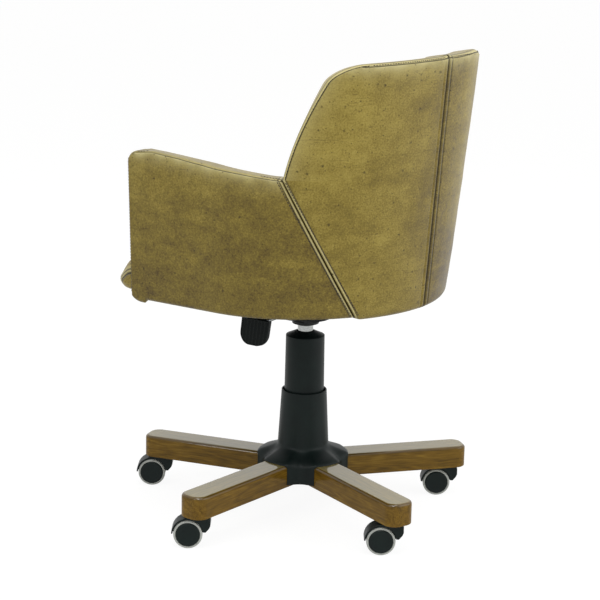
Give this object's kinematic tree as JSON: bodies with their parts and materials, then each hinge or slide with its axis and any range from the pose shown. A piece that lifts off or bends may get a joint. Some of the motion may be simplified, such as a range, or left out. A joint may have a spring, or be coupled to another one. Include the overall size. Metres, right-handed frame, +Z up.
{
  "type": "office chair",
  "caption": "Leather tub office armchair with a notched back on a swivelling gas-lift column with tilt, standing on a star base of wooden legs with casters.",
  "frame": {"origin": "on the floor, where the axis of the column meets it", "axes": "+Z up along the column, -Y towards the front of the seat, +X to the sitter's left"},
  "size_m": [0.5988, 0.61, 0.838],
  "materials": {
    "olive_leather": "worn, semi-gloss",
    "lacquered_wood": "glossy lacquer",
    "plywood": "raw",
    "black_cloth": "non-woven",
    "black_nylon": "satin moulded",
    "grey_tread": "smooth",
    "painted_steel": "satin black",
    "bright_steel": "polished"
  },
  "bodies": {
    "base": {"base_frame": "painted_steel", "leg_1": "lacquered_wood", "leg_2": "lacquered_wood", "leg_3": "lacquered_wood", "leg_4": "lacquered_wood", "leg_5": "lacquered_wood", "hub_cover": "black_nylon", "column_cover": "black_nylon", "stand_tube": "painted_steel", "guide_bush": "black_nylon", "caster_1_stem": "bright_steel", "caster_2_stem": "bright_steel", "caster_3_stem": "bright_steel", "caster_4_stem": "bright_steel", "caster_5_stem": "bright_steel"},
    "piston": {"piston_rod": "bright_steel"},
    "seat_post": {"gas_cylinder": "bright_steel", "tilt_housing": "painted_steel", "tilt_pin": "bright_steel", "tension_spring": "bright_steel"},
    "seat": {"seat_bracket": "painted_steel", "seat_board": "plywood", "dust_cover": "black_cloth", "seat_cushion": "olive_leather", "arm_left": "olive_leather", "arm_right": "olive_leather", "back_left": "olive_leather", "back_right": "olive_leather", "arm_frame_left": "plywood", "arm_frame_right": "plywood", "back_frame": "plywood"},
    "lever": {"lever_rod": "painted_steel", "lever_paddle": "black_nylon"},
    "valve": {"valve_button": "bright_steel"},
    "tension": {"tension_knob": "black_nylon"},
    "caster_1": {"caster_1_hood": "black_nylon"},
    "caster_1_wheel_a": {"caster_1_wheel_a": "black_nylon", "caster_1_tread_a": "grey_tread"},
    "caster_1_wheel_b": {"caster_1_wheel_b": "black_nylon", "caster_1_tread_b": "grey_tread"},
    "caster_2": {"caster_2_hood": "black_nylon"},
    "caster_2_wheel_a": {"caster_2_wheel_a": "black_nylon", "caster_2_tread_a": "grey_tread"},
    "caster_2_wheel_b": {"caster_2_wheel_b": "black_nylon", "caster_2_tread_b": "grey_tread"},
    "caster_3": {"caster_3_hood": "black_nylon"},
    "caster_3_wheel_a": {"caster_3_wheel_a": "black_nylon", "caster_3_tread_a": "grey_tread"},
    "caster_3_wheel_b": {"caster_3_wheel_b": "black_nylon", "caster_3_tread_b": "grey_tread"},
    "caster_4": {"caster_4_hood": "black_nylon"},
    "caster_4_wheel_a": {"caster_4_wheel_a": "black_nylon", "caster_4_tread_a": "grey_tread"},
    "caster_4_wheel_b": {"caster_4_wheel_b": "black_nylon", "caster_4_tread_b": "grey_tread"},
    "caster_5": {"caster_5_hood": "black_nylon"},
    "caster_5_wheel_a": {"caster_5_wheel_a": "black_nylon", "caster_5_tread_a": "grey_tread"},
    "caster_5_wheel_b": {"caster_5_wheel_b": "black_nylon", "caster_5_tread_b": "grey_tread"}
  },
  "joints": [
    {"name": "swivel", "type": "hinge", "parent": "base", "child": "piston", "pos_m": [0, 0, 0.0613], "axis": [0, 0, 1], "continuous": true},
    {"name": "lift", "type": "slide", "parent": "piston", "child": "seat_post", "axis": [0, 0, 1], "range_m": [0, 0.1]},
    {"name": "tilt", "type": "hinge", "parent": "seat_post", "child": "seat", "pos_m": [0, -0.06, 0.385], "axis": [-1, 0, 0], "range_deg": [0, 12], "stiffness_Nm_per_rad": 120, "springref_deg": -28.65},
    {"name": "lever_lift", "type": "hinge", "parent": "seat_post", "child": "lever", "pos_m": [0.064, 0.0015, 0.37], "axis": [0, -1, 0], "range_deg": [0, 5], "stiffness_Nm_per_rad": 3, "springref_deg": -8.59},
    {"name": "valve_press", "type": "slide", "parent": "seat_post", "child": "valve", "axis": [0, 0, 1], "range_m": [-0.0056, 0]},
    {"name": "tension_turn", "type": "hinge", "parent": "seat_post", "child": "tension", "pos_m": [0, -0.1, 0.345], "axis": [0, 0, 1], "range_deg": [0, 1440]},
    {"name": "caster_1_swivel", "type": "hinge", "parent": "base", "child": "caster_1", "pos_m": [0.10752, 0.25767, 0.045], "axis": [0, 0, 1], "continuous": true},
    {"name": "caster_1_roll_a", "type": "hinge", "parent": "caster_1", "child": "caster_1_wheel_a", "pos_m": [0.11854, 0.24121, 0.025], "axis": [0.831, 0.5563, 0], "continuous": true},
    {"name": "caster_1_roll_b", "type": "hinge", "parent": "caster_1", "child": "caster_1_wheel_b", "pos_m": [0.11854, 0.24121, 0.025], "axis": [0.831, 0.5563, 0], "continuous": true},
    {"name": "caster_2_swivel", "type": "hinge", "parent": "base", "child": "caster_2", "pos_m": [-0.21183, 0.18188, 0.045], "axis": [0, 0, 1], "continuous": true},
    {"name": "caster_2_roll_a", "type": "hinge", "parent": "caster_2", "child": "caster_2_wheel_a", "pos_m": [-0.20081, 0.16543, 0.025], "axis": [0.831, 0.5563, 0], "continuous": true},
    {"name": "caster_2_roll_b", "type": "hinge", "parent": "caster_2", "child": "caster_2_wheel_b", "pos_m": [-0.20081, 0.16543, 0.025], "axis": [0.831, 0.5563, 0], "continuous": true},
    {"name": "caster_3_swivel", "type": "hinge", "parent": "base", "child": "caster_3", "pos_m": [-0.23844, -0.14526, 0.045], "axis": [0, 0, 1], "continuous": true},
    {"name": "caster_3_roll_a", "type": "hinge", "parent": "caster_3", "child": "caster_3_wheel_a", "pos_m": [-0.22742, -0.16171, 0.025], "axis": [0.831, 0.5563, 0], "continuous": true},
    {"name": "caster_3_roll_b", "type": "hinge", "parent": "caster_3", "child": "caster_3_wheel_b", "pos_m": [-0.22742, -0.16171, 0.025], "axis": [0.831, 0.5563, 0], "continuous": true},
    {"name": "caster_4_swivel", "type": "hinge", "parent": "base", "child": "caster_4", "pos_m": [0.06447, -0.27165, 0.045], "axis": [0, 0, 1], "continuous": true},
    {"name": "caster_4_roll_a", "type": "hinge", "parent": "caster_4", "child": "caster_4_wheel_a", "pos_m": [0.07548, -0.28811, 0.025], "axis": [0.831, 0.5563, 0], "continuous": true},
    {"name": "caster_4_roll_b", "type": "hinge", "parent": "caster_4", "child": "caster_4_wheel_b", "pos_m": [0.07548, -0.28811, 0.025], "axis": [0.831, 0.5563, 0], "continuous": true},
    {"name": "caster_5_swivel", "type": "hinge", "parent": "base", "child": "caster_5", "pos_m": [0.27828, -0.02263, 0.045], "axis": [0, 0, 1], "continuous": true},
    {"name": "caster_5_roll_a", "type": "hinge", "parent": "caster_5", "child": "caster_5_wheel_a", "pos_m": [0.2893, -0.03909, 0.025], "axis": [0.831, 0.5563, 0], "continuous": true},
    {"name": "caster_5_roll_b", "type": "hinge", "parent": "caster_5", "child": "caster_5_wheel_b", "pos_m": [0.2893, -0.03909, 0.025], "axis": [0.831, 0.5563, 0], "continuous": true}
  ],
  "couplings": [
    {"joint": "valve_press", "follows": "lever_lift", "m_per_rad": -0.064}
  ]
}
